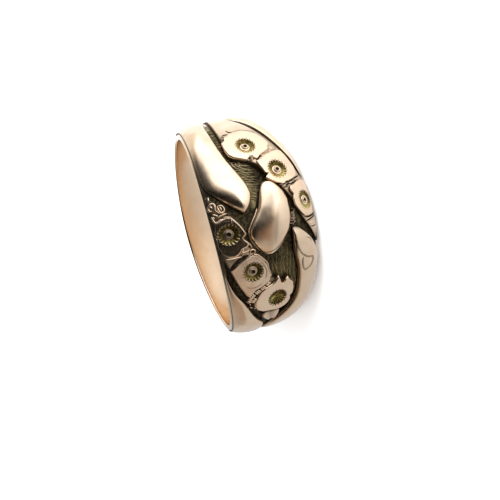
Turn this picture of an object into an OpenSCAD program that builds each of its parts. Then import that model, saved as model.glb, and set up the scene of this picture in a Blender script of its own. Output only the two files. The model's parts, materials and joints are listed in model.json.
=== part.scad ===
// A wide dress ring cast in one piece: a plain tapered shank that swells at the
// front into carved work. Five plain rounded strands and two strands of small
// flowers cross one another there over a sunk ground. It lies on its lower rim.

/* [Finger hole] */
// Inside diameter of the ring
bore_d = 18; // [14:0.1:22]

/* [Band] */
// Width of the band at the middle of the front
front_width = 8.9; // [6:0.1:11]
// Width of the band at the back
back_width = 4; // [2.5:0.1:6]
// How fast the band narrows towards the back
taper = 1.6; // [1:0.1:3]
// Thickness of the wall along its middle, without the carved work
crown_wall = 1; // [0.8:0.05:1.5]
// Thickness of the wall at both rims
rim_wall = 0.5; // [0.4:0.05:0.8]
// Flat of the bevel on the rims
rim_bevel = 0.14; // [0.05:0.01:0.3]

/* [Strands] */
// Height of the middle strand over the sunk ground
oval_height = 0.95; // [0.4:0.05:1.4]
// Height of the plain strands beside it
strand_height = 0.85; // [0.4:0.05:1.4]
// Height of the strips that carry the flowers
strip_height = 0.42; // [0.2:0.02:0.6]
// Angle from the front where the relief begins to sink
fade_start = 45; // [30:1:60]
// Angle from the front where the relief is gone
fade_end = 96; // [90:1:130]

/* [Flowers] */
// Height of the flowers over the sunk ground
flower_height = 0.68; // [0.3:0.02:1]
// Radius of the dished heart of a flower
heart_r = 0.78; // [0.5:0.02:1]
// Depth of the dished heart
heart_depth = 0.3; // [0.1:0.02:0.4]
// Radius of the pip in the heart
pip_r = 0.34; // [0.2:0.02:0.5]
// Depth of the scallops between the petals
scallop = 0.07; // [0:0.01:0.15]

/* [Hidden] */

gold = [0.86, 0.64, 0.5];
bore_r = bore_d / 2;
core_r = bore_r - 0.4;
bore_sides = 180;
cut_over = 3;
half_turn = 180;
full_turn = 360;

// Turns run in degrees round the ring from the middle of the front, and drops in
// millimetres across the band from its middle plane down towards the lower rim.
// A drop of RIM reaches as far as the band does.
RIM = 20;

// Each strand: [turn, drop of its upper edge, drop of its lower edge]
TURN = 0;
UPPER = 1;
LOWER = 2;
OVAL = [
    [-16.4, 0.5, 0.8], [-15, 0.15, 1.35], [-12.5, -0.2, 1.72], [-9, -0.45, 2.08],
    [-6, -0.68, 2.2], [-3, -1.05, 2.2], [0, -1.5, 2.12], [3, -1.85, 1.95],
    [6, -1.88, 1.72], [9, -1.65, 1.4], [12, -1.3, 0.95], [14.4, -0.95, 0.4], [15.6, -0.65, -0.1]
];
RIM_STRAND_A = [
    [-96, -RIM, -0.6], [-80, -RIM, -0.7], [-70, -RIM, -0.85], [-60, -RIM, -1.5],
    [-50, -RIM, -1.68], [-40, -RIM, -1.78], [-30, -RIM, -1.58], [-22, -RIM, -1.08],
    [-18, -4, -0.82], [-14, -3.4, -0.7], [-11, -2.95, -0.82], [-8, -2.45, -1.14],
    [-6, -2.05, -1.5], [-5.2, -1.9, -1.7]
];
RIM_STRAND_B = [
    [-96, 1.6, RIM], [-80, 1.6, RIM], [-70, 0.9, RIM], [-62, 1, RIM],
    [-57, 1.55, RIM], [-50, 2.1, RIM], [-40, 2.8, RIM], [-30, 3.45, RIM],
    [-24, 3.98, RIM], [-20, 4.3, RIM]
];
RIM_STRAND_C = [
    [6.6, 1.9, 2.25], [8.5, 1.85, 2.7], [11, 1.82, 3.2], [14, 1.7, 3.6],
    [18, 1.68, 3.9], [22, 1.86, 4.15], [28, 2.02, RIM], [34, 1.98, RIM], [40, 1.94, RIM],
    [46, 1.5, RIM], [52, 0.78, RIM], [58, -0.1, RIM], [70, -0.3, RIM], [96, -0.3, RIM]
];
RIM_STRAND_D = [
    [20, -RIM, -4.3], [27, -RIM, -4.1], [31, -RIM, -3.7], [36, -RIM, -3],
    [40, -RIM, -2.65], [45, -RIM, -2.2], [50, -RIM, -1.75], [55, -RIM, -1.2],
    [58, -RIM, -0.7], [70, -RIM, -0.5], [96, -RIM, -0.5]
];

// The strips under the flowers, in the same columns
STRIP_A = [
    [-96, -0.3, 1.1], [-80, -0.3, 1.1], [-70, -0.55, 0.55], [-62, -0.9, 0.7],
    [-55, -1.1, 1.4], [-48, -1.28, 2.02], [-41, -1.3, 2.6], [-35, -1.3, 3], [-30, -0.9, 3.34],
    [-26, 0.5, 3.68], [-20, 1, 4.05], [-15, 1.5, RIM], [-10, 2.1, RIM],
    [-4, 2.6, RIM], [2, 2.8, RIM], [7, 3.5, RIM], [12, 3.9, RIM], [17, 4.2, RIM]
];
STRIP_B = [
    [-17, -RIM, -4.1], [-12, -RIM, -3.7], [-7, -RIM, -3.3], [-1, -RIM, -2.6],
    [4, -RIM, -2.3], [10, -RIM, -2.05], [15, -4, -1.4], [20, -3.7, -1],
    [26, -3.3, -0.8], [30, -2.9, 0.9], [36, -2.4, 1.2], [41, -2, 0.9],
    [46, -1.5, 0.5], [51, -1.1, 0.15], [55, -0.8, -0.1], [58, -0.5, -0.4]
];

// Each flower: [turn, drop, radius, number of petals, way that its first petal points]
DROP = 1;
RADIUS = 2;
PETALS = 3;
WAY = 4;
FLOWERS = [
    [-35.8, 0.35, 1.8, 6, 20], [-20.5, 2.1, 1.66, 6, 50], [-4.3, 3.55, 1.5, 6, 10],
    [2.3, -3.5, 1.5, 6, 10], [20.7, -2.2, 1.62, 6, 50], [37.4, -0.25, 1.78, 6, 20]
];

// All strands: [height, edges]
HEIGHT = 0;
EDGES = 1;
STRANDS = [
    [oval_height, OVAL], [strand_height, RIM_STRAND_A], [strand_height, RIM_STRAND_B],
    [strand_height, RIM_STRAND_C], [strand_height, RIM_STRAND_D],
    [strip_height, STRIP_A], [strip_height, STRIP_B]
];

// Sections are close together over the carved front and wider apart behind
front_reach = 66;
front_step = 1.32;
back_step = 7.6;
columns = 34;
TURNS = concat(
    [for (turn = [-front_reach:front_step:front_reach - front_step]) turn],
    [for (turn = [front_reach:back_step:full_turn - front_reach - back_step])
        turn > half_turn ? turn - full_turn : turn]
);

// Run of the sloping sides of the strands and flowers, and how far a strand's top is domed
strand_side = 0.55;
flower_side = 0.4;
doming = 0.22;
band_power = 2.2;

function ease(share) = share * share * (3 - 2 * share);
function clamp01(value) = min(1, max(0, value));

// Share of the relief that is left at a turn, and half the width of the band there
function relief_left(turn) = 1 - ease(clamp01((abs(turn) - fade_start) / (fade_end - fade_start)));
function half_width(turn) =
    back_width / 2 + (front_width - back_width) / 2 * pow((1 + cos(turn)) / 2, taper);

// A side that climbs from 0 to 1 over its run, in from the edge
function side(inward, run) = ease(clamp01(inward / run));

// The strands that one section crosses: [height, upper drop, lower drop]
function edge(rows, turn, column) = lookup(turn, [for (row = rows) [row[TURN], row[column]]]);
function crosses(rows, turn) = turn >= rows[0][TURN] && turn <= rows[len(rows) - 1][TURN];
function crossed(turn) = [
    for (strand = STRANDS) if (crosses(strand[EDGES], turn))
        [strand[HEIGHT], edge(strand[EDGES], turn, UPPER), edge(strand[EDGES], turn, LOWER)]
];
function strand_relief(spans, drop, half) = max([
    0,
    for (span = spans)
        let (inward = min(drop - span[UPPER], span[LOWER] - drop))
        let (upper = max(span[UPPER], -half), lower = min(span[LOWER], half))
        let (off_middle = (2 * drop - upper - lower) / max(strand_side, lower - upper))
        span[HEIGHT] * side(inward, strand_side) * (1 - doming * off_middle * off_middle)
]);

// Height of one flower at a place that lies along and across the band from its heart
function flower_top(flower, along, across) =
    let (reach = norm([along, across]))
    let (dip = (1 - cos(flower[PETALS] * (atan2(across, along) - flower[WAY]))) / 2)
    let (outline = flower[RADIUS] * (1 - scallop * dip))
    flower_height * side(outline - reach, flower_side)
        - heart_depth * side(heart_r - reach, flower_side)
        + heart_depth * side(pip_r - reach, pip_r);
function flower_relief(turn, drop) = max([
    0,
    for (flower = FLOWERS)
        let (along = (turn - flower[TURN]) * PI / half_turn * (bore_r + crown_wall))
        let (across = drop - flower[DROP])
        norm([along, across]) > flower[RADIUS] ? 0 : flower_top(flower, along, across)
]);

// Radius of the outside at a turn and a share of the half width. The band is domed
// across, and the relief is lower towards the rims.
function outside_r(turn, share, spans) =
    let (half = half_width(turn), drop = share * half)
    let (relief = relief_left(turn) * max(strand_relief(spans, drop, half), flower_relief(turn, drop)))
    bore_r + rim_wall + (crown_wall - rim_wall + relief) * sqrt(1 - pow(abs(share), band_power));

function place(turn, radius, drop) = [-radius * sin(turn), -radius * cos(turn), -drop];

// One closed section through the wall, from the finger hole round the outside and back
function section(turn) =
    let (half = half_width(turn), spans = crossed(turn)) concat(
        [place(turn, core_r, -half), place(turn, bore_r + rim_wall - rim_bevel, -half)],
        [for (column = [0:columns]) let (share = 2 * column / columns - 1)
            place(turn, outside_r(turn, share, spans), share * (half - rim_bevel))],
        [place(turn, bore_r + rim_wall - rim_bevel, half), place(turn, core_r, half)]
    );

RING_POINTS = [for (turn = TURNS) each section(turn)];
section_points = columns + 5;
function radius_of(point) = norm([RING_POINTS[point].x, RING_POINTS[point].y]);

// Each four-sided cell is split along the diagonal that climbs less
RING_FACES = [
    for (row = [0:len(TURNS) - 1], point = [0:section_points - 1])
        let (next_row = (row + 1) % len(TURNS), next_point = (point + 1) % section_points)
        let (a = row * section_points + point, b = row * section_points + next_point)
        let (c = next_row * section_points + next_point, d = next_row * section_points + point)
        each abs(radius_of(a) - radius_of(c)) < abs(radius_of(b) - radius_of(d))
            ? [[a, b, c], [a, c, d]]
            : [[a, b, d], [b, c, d]]
];

// The wide front stands lower than the narrow back, so the ring leans as it lies:
// it rests on the edge of the finger hole in front and on the outer edge of the rim behind
back_rim_r = bore_r + rim_wall - rim_bevel;
lean = -atan((front_width - back_width) / 2 / (bore_r + back_rim_r));
function leaned(point) = [
    point.x,
    point.y * cos(lean) - point.z * sin(lean),
    point.y * sin(lean) + point.z * cos(lean)
];
LEANED = [for (point = RING_POINTS) leaned(point)];
function middle(values) = (max(values) + min(values)) / 2;
rest_shift = [
    -middle([for (point = LEANED) point.x]),
    -middle([for (point = LEANED) point.y]),
    -leaned([0, -bore_r, -front_width / 2]).z
];

module carved_band() {
    polyhedron(RING_POINTS, RING_FACES);
}

module finger_hole() {
    cylinder(r = bore_r, h = front_width + cut_over, center = true, $fn = bore_sides);
}

module ring() {
    color(gold)
        translate(rest_shift)
            rotate([lean, 0, 0])
                difference() {
                    carved_band();
                    finger_hole();
                }
}

ring();
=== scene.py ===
import json
import math

import bmesh
import bpy
from mathutils import Matrix, Vector
from mathutils.geometry import interpolate_bezier


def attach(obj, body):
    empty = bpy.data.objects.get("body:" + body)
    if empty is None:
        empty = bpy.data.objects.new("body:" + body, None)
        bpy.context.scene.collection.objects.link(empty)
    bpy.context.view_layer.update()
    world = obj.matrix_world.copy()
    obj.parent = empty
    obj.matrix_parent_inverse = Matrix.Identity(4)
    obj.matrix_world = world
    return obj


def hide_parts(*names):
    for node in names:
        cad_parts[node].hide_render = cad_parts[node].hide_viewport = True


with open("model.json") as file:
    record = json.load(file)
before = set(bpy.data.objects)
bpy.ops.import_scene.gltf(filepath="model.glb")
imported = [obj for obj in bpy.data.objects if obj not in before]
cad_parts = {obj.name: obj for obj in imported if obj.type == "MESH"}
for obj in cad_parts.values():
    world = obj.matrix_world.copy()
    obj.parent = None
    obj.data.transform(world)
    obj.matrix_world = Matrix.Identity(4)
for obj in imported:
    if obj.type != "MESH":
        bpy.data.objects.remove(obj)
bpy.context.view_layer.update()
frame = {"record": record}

# The band. The real ring is one casting in nine carat rose gold: a domed band, wide in
# front and narrow behind, that carries the carved work. It is turned here as a section
# swept round the finger hole, and each section is then drawn in to the band's width.
MM = 0.001
finger_hole = frame["record"]["mounts"][0]
BORE_R = finger_hole["dims"]["r_mm"]
FRONT_WIDTH = finger_hole["dims"]["length_mm"]
BACK_WIDTH = 4.0
TAPER = 1.6
RIM_R = BORE_R + 0.5
WALL_RISE = 0.5
DOME_POWER = 2.2
FULL_TURN = 2 * math.pi
BAND_SECTIONS = 120
RIM_SECTION = [
    (BORE_R, -0.9), (BORE_R + 0.02, -0.96), (BORE_R + 0.1, -0.987), (BORE_R + 0.23, -1),
    (BORE_R + 0.36, -0.99), (RIM_R, -0.96),
]
OUTSIDE_SHARES = [-0.945, -0.91, -0.86, -0.78, -0.66, -0.5, -0.25]
BORE_SHARES = [0.45, 0, -0.45]
WELD = 0.01

# The ring's own frame: its axis is the finger hole's, and its carved front faces -Y. The
# pieces are drawn there in millimetres, and then moved to where the ring lies, in metres.
ring_z = Vector(finger_hole["axis"]).normalized()
ring_x = Vector((1, 0, 0))
ring_y = ring_z.cross(ring_x)
RING_TURN = Matrix((ring_x, ring_y, ring_z)).transposed().to_4x4()
TO_REST = Matrix.Translation(finger_hole["pos_m"]) @ RING_TURN
TO_METRES = TO_REST @ Matrix.Scale(MM, 4)


def half_width(turn):
    """Half the band's width, that far round from the front."""
    frontness = (1 + math.cos(turn)) / 2
    return BACK_WIDTH / 2 + (FRONT_WIDTH - BACK_WIDTH) / 2 * frontness ** TAPER


def dome(share):
    """What is left of the crown's rise at a share of the way out to the rim."""
    return math.sqrt(1 - min(1, abs(share)) ** DOME_POWER)


def pick(piece, wanted):
    """Selects what wanted() accepts among the vertices, in edit mode."""
    mesh = bmesh.from_edit_mesh(piece.data)
    for vert in mesh.verts:
        vert.select = bool(wanted(vert.co))
    mesh.select_flush_mode()
    mesh.select_flush(True)
    bmesh.update_edit_mesh(piece.data)


def draw_outline(name, outline):
    """A new flat face through the outline's points, opened in edit mode."""
    bpy.ops.object.select_all(action="DESELECT")
    bpy.ops.mesh.primitive_circle_add(vertices=len(outline), fill_type="NGON")
    piece = bpy.context.object
    piece.name = piece.data.name = name
    for vert, place in zip(piece.data.vertices, outline):
        vert.co = place
    bpy.ops.object.mode_set(mode="EDIT")
    bpy.ops.mesh.select_all(action="SELECT")
    return piece


def finish_mesh(piece, levels=0):
    """Turns the faces outwards, rounds the piece by subdivision and shades it smooth."""
    bpy.ops.mesh.select_all(action="SELECT")
    bpy.ops.mesh.normals_make_consistent(inside=False)
    bpy.ops.object.mode_set(mode="OBJECT")
    if levels:
        rounding = piece.modifiers.new("rounding", "SUBSURF")
        rounding.levels = rounding.render_levels = levels
        bpy.ops.object.modifier_apply(modifier=rounding.name)
    bpy.ops.object.shade_smooth()


def mark_lift(piece, lift_of):
    """Keeps for each vertex how high it stands in the carving, for the material to follow."""
    lift = piece.data.attributes.new("lift", "FLOAT", "POINT")
    for vert in piece.data.vertices:
        lift.data[vert.index].value = lift_of(vert.co)


def part_of_ring(piece, material):
    """Gives the piece its metal, and lets it ride the one body and stand for the ring."""
    piece.data.materials.clear()
    piece.data.materials.append(material)
    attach(piece, "root")
    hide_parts("ring")


outside = [(RIM_R + WALL_RISE * dome(share), share) for share in OUTSIDE_SHARES]
lower_half = RIM_SECTION + outside
upper_half = [(radius, -share) for radius, share in reversed(lower_half)]
inside = [(BORE_R, share) for share in BORE_SHARES]
section = lower_half + [(RIM_R + WALL_RISE, 0)] + upper_half + inside
band = draw_outline("band", [(0, -radius, share) for radius, share in section])
bpy.ops.mesh.delete(type="ONLY_FACE")
bpy.ops.mesh.select_all(action="SELECT")
bpy.ops.mesh.spin(steps=BAND_SECTIONS, angle=FULL_TURN, center=(0, 0, 0), axis=(0, 0, 1))
bpy.ops.mesh.select_all(action="SELECT")
bpy.ops.mesh.remove_doubles(threshold=WELD)
near = math.cos(FULL_TURN / BAND_SECTIONS / 3)
for number in range(BAND_SECTIONS):
    turn = FULL_TURN * number / BAND_SECTIONS
    way = Vector((-math.sin(turn), -math.cos(turn)))
    pick(band, lambda place: place.xy.normalized().dot(way) > near)
    bpy.ops.transform.resize(value=(1, 1, half_width(turn)), center_override=(0, 0, 0))
finish_mesh(band, levels=2)
mark_lift(band, lambda place: 1)
band.data.transform(TO_METRES)


class Wire:
    """A socket that takes part in ordinary sums: each sum adds its node."""

    def __init__(self, shade, socket):
        self.shade = shade
        self.socket = socket

    def math(self, operation, first, second):
        return self.shade.node("ShaderNodeMath", {"operation": operation}, {0: first, 1: second})

    def __add__(self, other):
        return self.math("ADD", self, other)

    def __sub__(self, other):
        return self.math("SUBTRACT", self, other)

    def __rsub__(self, other):
        return self.math("SUBTRACT", other, self)

    def __mul__(self, other):
        return self.math("MULTIPLY", self, other)

    __radd__ = __add__
    __rmul__ = __mul__

    def between(self, low, high):
        """Climbs smoothly from 0 at low to 1 at high."""
        ends = {"Value": self, "From Min": low, "From Max": high}
        return self.shade.node("ShaderNodeMapRange", {"interpolation_type": "SMOOTHSTEP"}, ends)

    def stretched(self, scale):
        product = {"operation": "MULTIPLY"}
        return self.shade.node("ShaderNodeVectorMath", product, {0: self, 1: scale})


class Shade:
    """The nodes of one material or world, and the ways that new ones are added."""

    def __init__(self, owner):
        owner.use_nodes = True
        self.tree = owner.node_tree

    def set(self, socket, value):
        if isinstance(value, Wire):
            self.tree.links.new(value.socket, socket)
        else:
            socket.default_value = value

    def node(self, kind, settings, sockets, output=0):
        made = self.tree.nodes.new(kind)
        for setting, value in settings.items():
            setattr(made, setting, value)
        for name, value in sockets.items():
            self.set(made.inputs[name], value)
        return Wire(self, made.outputs[output])

    def mix(self, factor, first, second):
        colours = {0: factor, 6: first, 7: second}
        return self.node("ShaderNodeMix", {"data_type": "RGBA"}, colours, 2)

    def noise(self, place, scale, detail=2.0):
        grain = {"Vector": place, "Scale": scale, "Detail": detail}
        return self.node("ShaderNodeTexNoise", {}, grain)


# Rose gold as it is worn: smooth and bright where the work stands up, with fine lines
# from polishing that run round the band, and brown to black where it lies low.
ROSE = (0.8, 0.58, 0.37, 1)
PALE_ROSE = (0.88, 0.67, 0.46, 1)
BROWN = (0.07, 0.05, 0.03, 1)
OLIVE = (0.15, 0.108, 0.055, 1)
WORN_DEPTH = 0.055 * MM
CLOUDS = 0.9
GRIME = 5.0
DENTS = 0.75
POLISHING_LINES = (1.5, 1.5, 22.0)
DIRT_ROUGHNESS = 0.35


def gold(name, low, high, top=(ROSE, PALE_ROSE), dirt=(BROWN, OLIVE), polish=0.16, worn=1.0):
    """Gold that is dark where it stands lower than low and clean above high, in millimetres."""
    material = bpy.data.materials.new(name)
    shade = Shade(material)
    shader = shade.tree.nodes["Principled BSDF"]
    place = shade.node("ShaderNodeTexCoord", {}, {}, "Object")
    place = place.stretched((1 / MM, 1 / MM, 1 / MM))
    lift = shade.node("ShaderNodeAttribute", {"attribute_name": "lift"}, {}, "Fac")
    cloud = shade.noise(place, CLOUDS)
    grime = shade.noise(place, GRIME, 4.0)
    scratch = shade.noise(place.stretched(POLISHING_LINES), 1.6, 3.0)
    clean = (lift + 0.25 * (high - low) * (grime - 0.5)).between(low, high)
    bright = shade.mix(cloud.between(0.2, 0.8), *top)
    dark = shade.mix(grime.between(0.35, 0.7), *dirt)
    shade.set(shader.inputs["Base Color"], shade.mix(clean, dark, bright))
    shader.inputs["Metallic"].default_value = 1
    rough = polish + 0.1 * scratch + DIRT_ROUGHNESS * (1 - clean)
    shade.set(shader.inputs["Roughness"], rough)
    height = shade.noise(place, DENTS, 1.0) * worn + 0.02 * scratch + 0.1 * (1 - clean) * grime
    bump = {"Strength": 1.0, "Distance": WORN_DEPTH, "Height": height}
    shade.set(shader.inputs["Normal"], shade.node("ShaderNodeBump", {}, bump, "Normal"))
    return material


BAND_TOP = ((0.82, 0.6, 0.39, 1), (0.86, 0.65, 0.44, 1))
part_of_ring(band, gold("band_gold", -1, 0, top=BAND_TOP, worn=0.08))

# The sunk ground. Between the raised work the real band is cut down and hatched with a
# graver, line beside line, and age has blackened it. It is a dark layer on the band,
# drawn flat and then laid round it, with the ridges that the graver leaves.
PLAN_R = 10.5
# Between these two turns the carving sinks into the plain shank
FADE_START = math.radians(45)
FADE_END = math.radians(96)
FADE_SINK = 0.06
RIM = 20.0
RIM_SHARE = 0.985
GROUND_LIFT = 0.03
GROUND_FOOT = -6
GROUND_STEPS = 12
GROUND_EVERY = 4
GROUND_END = 92
# The ground's share of the band's width in front, and how much less it is behind
GROUND_SHARE = 0.94
GROUND_LOSS = 0.4


def ease(share):
    """Climbs smoothly from 0 to 1."""
    share = min(1, max(0, share))
    return share * share * (3 - 2 * share)


def on_band(along, drop, lift):
    """Where a place of the flat drawing comes to lie on the domed and tapered band."""
    turn = along / PLAN_R
    left = 1 - ease((abs(turn) - FADE_START) / (FADE_END - FADE_START))
    rise = WALL_RISE + lift * left - FADE_SINK * (1 - left)
    radius = RIM_R + rise * dome(drop / half_width(turn))
    return Vector((-radius * math.sin(turn), -radius * math.cos(turn), -drop))


def lay_on_band(piece, lift_of=lambda place: place.z):
    """Lays a piece that was drawn flat round the band, at rest, in metres."""
    if "lift" not in piece.data.attributes:
        mark_lift(piece, lift_of)
    for vert in piece.data.vertices:
        vert.co = on_band(*vert.co)
    piece.data.transform(TO_METRES)


def plan(degrees, drop=0.0):
    """A place of the flat drawing: degrees round the band from its front, and the drop,
    which is how far it lies below the band's middle line."""
    return Vector((math.radians(degrees) * PLAN_R, drop, 0))


def rib(name, section, rows, height):
    """A rib drawn flat: its section goes on from row to row, each one given as degrees
    round the band, upper drop, lower drop and, where it isn't 1, its share of the height.
    A drop of RIM or more goes as far as the band's rim."""
    piece = draw_outline(name, [(0, share, level * height) for share, level in section])
    along, middle, half, rise = 0, 0, 1, 1
    for number, (degrees, upper, lower, *more) in enumerate(rows):
        edge = half_width(math.radians(degrees)) * RIM_SHARE
        upper, lower = max(upper, -edge), min(lower, edge)
        next_rise = more[0] if more else 1
        next_along = math.radians(degrees) * PLAN_R
        if number:
            bpy.ops.mesh.extrude_region_move()
        size = (1, (lower - upper) / 2 / half, next_rise / rise)
        bpy.ops.transform.resize(value=size, center_override=(along, middle, 0))
        bpy.ops.transform.translate(value=(next_along - along, (upper + lower) / 2 - middle, 0))
        along, middle, half, rise = next_along, (upper + lower) / 2, (lower - upper) / 2, next_rise
    return piece


GROUND_TOP = ((0.25, 0.2, 0.088, 1), (0.57, 0.455, 0.22, 1))
GROUND_DIRT = ((0.03, 0.022, 0.012, 1), (0.13, 0.1, 0.05, 1))
dark_ground = gold(
    "dark_ground", 0.04, 0.13, top=GROUND_TOP, dirt=GROUND_DIRT, polish=0.3, worn=1.2,
)
ground_top = [(1 - 2 * step / GROUND_STEPS, 1) for step in range(GROUND_STEPS + 1)]
ground_foot = [(-1, GROUND_FOOT), (1, GROUND_FOOT)]
ground_rows = []
for degrees in range(-GROUND_END, GROUND_END + 1, GROUND_EVERY):
    share = GROUND_SHARE - GROUND_LOSS * ease((abs(degrees) - 50) / 30)
    reach = share * half_width(math.radians(degrees))
    ground_rows.append((degrees, -reach, reach))
ground = rib("ground", ground_top + ground_foot, ground_rows, GROUND_LIFT)
finish_mesh(ground)

# Open places, painted brighter: degrees, drop, half their length in degrees, half their width,
# brightness
OPEN_GROUND = [
    (-50, -1.0, 30, 1.3, 1), (-28, -0.75, 15, 0.8, 0.9), (-12, -0.5, 10, 0.8, 1),
    (30, 0.9, 26, 1.3, 1.1), (-4, 2.8, 14, 1.0, 1),
]
SUNK_MARK = 0.02
OPEN_MARK = 0.075


def open_ground_light(place):
    """Where the ground lies open it is painted brighter than in the narrow gaps: painted light."""
    bright = 0
    for degrees, drop, length, width, most in OPEN_GROUND:
        offset = place - plan(degrees, drop)
        away = math.hypot(offset.x / plan(length).x, offset.y / width)
        bright = max(bright, most * ease(1.6 - 1.6 * away))
    return SUNK_MARK + OPEN_MARK * bright


# The ground's marks paint its open places brighter: painted light.
lay_on_band(ground, open_ground_light)
part_of_ring(ground, dark_ground)


def turn_flat(degrees):
    """Turns what is selected in the flat drawing round its middle."""
    way = -math.radians(degrees)
    bpy.ops.transform.rotate(value=way, orient_axis="Z", center_override=(0, 0, 0))


RIDGE_SECTION = [(1, 0), (0, 1), (-1, 0)]
RIDGE_HEIGHT = 0.13
RIDGE_HALF = 0.055
STEEP = 45
# Hatchings: first and last degree, upper and lower drop, pitch, slant in degrees. The
# ridges of a steep one stand side by side along the band, the others across it.
HATCHED = [
    ("cross_hatching", -56, -10, -2.0, 0.6, 0.22, 78),
    ("steep_hatching", -40, -8, -1.6, 0.5, 0.37, 52),
    ("long_hatching", 10, 57, -1.4, 2.2, 0.14, -4),
    ("slanting_hatching", 14, 50, -1.2, 2.1, 0.33, 14),
]
for name, start, end, upper, lower, pitch, slant in HATCHED:
    across = abs(slant) > STEEP
    steps = 8 if across else 16
    long, wide = math.radians(end - start) * PLAN_R, lower - upper
    room, length = (long, wide) if across else (wide, long)
    reach = math.degrees(length / PLAN_R)
    # Each ridge starts and ends low
    rows = []
    for step in range(steps + 1):
        rise = 0.25 + 0.75 * ease(3 * min(step, steps - step) / steps)
        rows.append((reach * (step / steps - 0.5), -RIDGE_HALF, RIDGE_HALF, rise))
    hatching = rib(name, RIDGE_SECTION, rows, RIDGE_HEIGHT)
    bpy.ops.mesh.select_all(action="SELECT")
    turn_flat(slant)
    first = plan(start, (upper + lower) / 2) if across else plan((start + end) / 2, upper)
    bpy.ops.transform.translate(value=first)
    # A hand never cuts two lines quite alike in their pitch, place and height
    for number in range(int(room / pitch)):
        aside = pitch * (1 + 0.3 * math.sin(2.7 * number))
        wobble = 0.14 * math.sin(4.1 * number)
        rise = 0.025 * math.sin(2.3 * number)
        value = (aside, wobble, rise) if across else (wobble, aside, rise)
        bpy.ops.mesh.duplicate_move(TRANSFORM_OT_translate={"value": value})
    finish_mesh(hatching)
    lay_on_band(hatching)
    part_of_ring(hatching, dark_ground)

# The plain strands. On the real ring they are smooth round-topped ribs, modelled in the
# casting and burnished: a short one in the middle, and four that run in from the rims
# and dive under their neighbours.
STRAND_FOOT = -0.3


def domed(side, beside_top):
    """A strand's section: up one side, over the top and down the same side mirrored."""
    top = [(0.25, beside_top), (0, 1), (-0.25, beside_top)]
    other_side = [(-share, level) for share, level in reversed(side)]
    return side + top + other_side + [(0, STRAND_FOOT)]


ROUND_SECTION = domed([
    (1, STRAND_FOOT), (1, 0.1), (0.985, 0.3), (0.955, 0.45), (0.89, 0.62), (0.76, 0.78),
    (0.53, 0.9),
], 0.97)
FLAT_SECTION = domed([
    (1, STRAND_FOOT), (1, 0.15), (0.992, 0.45), (0.97, 0.66), (0.92, 0.81), (0.81, 0.91),
    (0.56, 0.97),
], 0.99)
# The oval's crown sits to one side of its middle and slopes down to a narrow ledge
OVAL_SECTION = [
    (1, STRAND_FOOT), (1, 0.1), (0.99, 0.3), (0.965, 0.45), (0.9, 0.64), (0.79, 0.8), (0.64, 0.92),
    (0.48, 0.98), (0.3, 0.985), (0.1, 0.945), (-0.1, 0.875), (-0.35, 0.765), (-0.6, 0.65),
    (-0.8, 0.54), (-0.89, 0.4), (-0.925, 0.2), (-0.945, 0.16), (-0.985, 0.16), (-1, 0.1),
    (-1, STRAND_FOOT), (0, STRAND_FOOT),
]
OVAL_HEIGHT = 0.95
STRAND_HEIGHT = 0.85
STRAND_FORMS = {
    "middle_strand": (OVAL_SECTION, OVAL_HEIGHT),
    "lower_rim_strand": (FLAT_SECTION, STRAND_HEIGHT),
}
# Towards its last rows the oval is polished nearly down to its foot
CLEAN_FOOT = {"middle_strand": 0.3}
CLEAN_FROM = plan(10).x
# Rows for rib(), as its own comment gives them. The names say where the picture shows
# each strand.
STRANDS = {
    "middle_strand": [
        (-17, 0.5, 0.85, 0.3), (-16, 0.25, 1.2, 0.7), (-12.5, -0.2, 1.72, 0.93),
        (-9, -0.45, 2.08, 0.98), (-6, -0.68, 2.2), (-3, -1.05, 2.2, 0.97),
        (0, -1.5, 2.12, 0.92), (3, -1.85, 1.95, 0.87), (6, -1.88, 1.72, 0.81),
        (9, -1.65, 1.4, 0.73), (12, -1.3, 0.95, 0.62), (14.4, -0.95, 0.4, 0.46),
        (15.8, -0.6, -0.15, 0.28),
    ],
    "upper_long_strand": [
        (-96, -RIM, -0.6), (-80, -RIM, -0.7), (-70, -RIM, -0.85), (-60, -RIM, -1.5),
        (-50, -RIM, -1.68), (-40, -RIM, -1.78), (-30, -RIM, -1.58), (-22, -RIM, -1.08),
        (-18, -4.0, -0.82), (-14, -3.4, -0.7), (-11, -2.95, -0.82), (-8, -2.45, -1.14, 0.95),
        (-6, -2.05, -1.5, 0.75), (-5, -1.88, -1.72, 0.4),
    ],
    "upper_rim_strand": [
        (-96, 1.6, RIM), (-80, 1.6, RIM), (-70, 0.9, RIM), (-62, 1, RIM),
        (-57, 1.55, RIM, 0.95), (-50, 2.1, RIM, 0.88), (-40, 2.82, RIM, 0.82),
        (-30, 3.48, RIM, 0.8), (-24, 3.88, RIM, 0.8), (-20, 3.98, RIM, 0.74),
        (-15, 4.2, RIM, 0.45),
    ],
    "lower_rim_strand": [
        (6, 1.95, 2.15, 0.25), (6.7, 1.88, 2.4, 0.45), (8.5, 1.85, 2.75, 0.64),
        (11, 1.82, 3.2, 0.79), (14, 1.7, 3.6, 0.89), (18, 1.68, 3.9, 0.96), (22, 1.86, 4.15),
        (28, 1.94, RIM), (34, 1.88, RIM), (40, 1.84, RIM), (46, 1.4, RIM), (52, 0.7, RIM),
        (58, -0.1, RIM), (70, -0.3, RIM), (96, -0.3, RIM),
    ],
    "lower_long_strand": [
        (20, -RIM, -4.2, 0.6), (24, -RIM, -4.1), (31, -RIM, -3.7), (36, -RIM, -3),
        (40, -RIM, -2.65), (45, -RIM, -2.2), (50, -RIM, -1.75), (55, -RIM, -1.2),
        (58, -RIM, -0.7), (70, -RIM, -0.5), (96, -RIM, -0.5),
    ],
}
BLACK_DIRT = (0.02, 0.014, 0.008, 1)
polished_gold = gold("polished_rose_gold", 0.2, 0.55, dirt=(BLACK_DIRT, BROWN), worn=0.4)
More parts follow.
